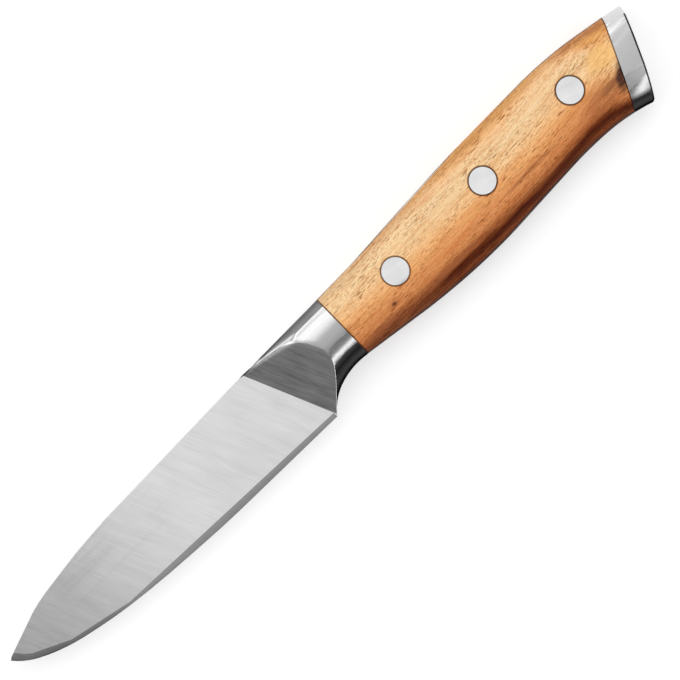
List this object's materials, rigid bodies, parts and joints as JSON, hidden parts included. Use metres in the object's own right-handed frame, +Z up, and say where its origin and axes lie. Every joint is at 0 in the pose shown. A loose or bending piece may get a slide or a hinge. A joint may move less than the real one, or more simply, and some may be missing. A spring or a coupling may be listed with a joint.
{
  "type": "paring knife",
  "caption": "Forged full-tang paring knife: slim tapered blade with a ground ramp into its bolster, wooden scales held by flush rivets, and a slanted steel butt cap.",
  "frame": {"origin": "the knife lies on its side: middle of its length and height, in the plane of the lower cheek that it lies on", "axes": "+X from the tip to the butt, +Y from the cutting edge to the spine, +Z up, out of the upper (left) cheek"},
  "size_m": [0.1991, 0.0245, 0.014],
  "materials": {
    "blade_steel": "satin, ground across the blade",
    "cap_steel": "polished",
    "scale_wood": "honey brown, oiled, satin",
    "rivet_steel": "ground flush, satin"
  },
  "bodies": {
    "root": {"blade_forging": "blade_steel", "butt_cap": "cap_steel", "left_scale": "scale_wood", "right_scale": "scale_wood", "rivet_socket_1": "rivet_steel", "rivet_socket_2": "rivet_steel", "rivet_socket_3": "rivet_steel", "rivet_pin_1": "rivet_steel", "rivet_pin_2": "rivet_steel", "rivet_pin_3": "rivet_steel"}
  },
  "joints": []
}
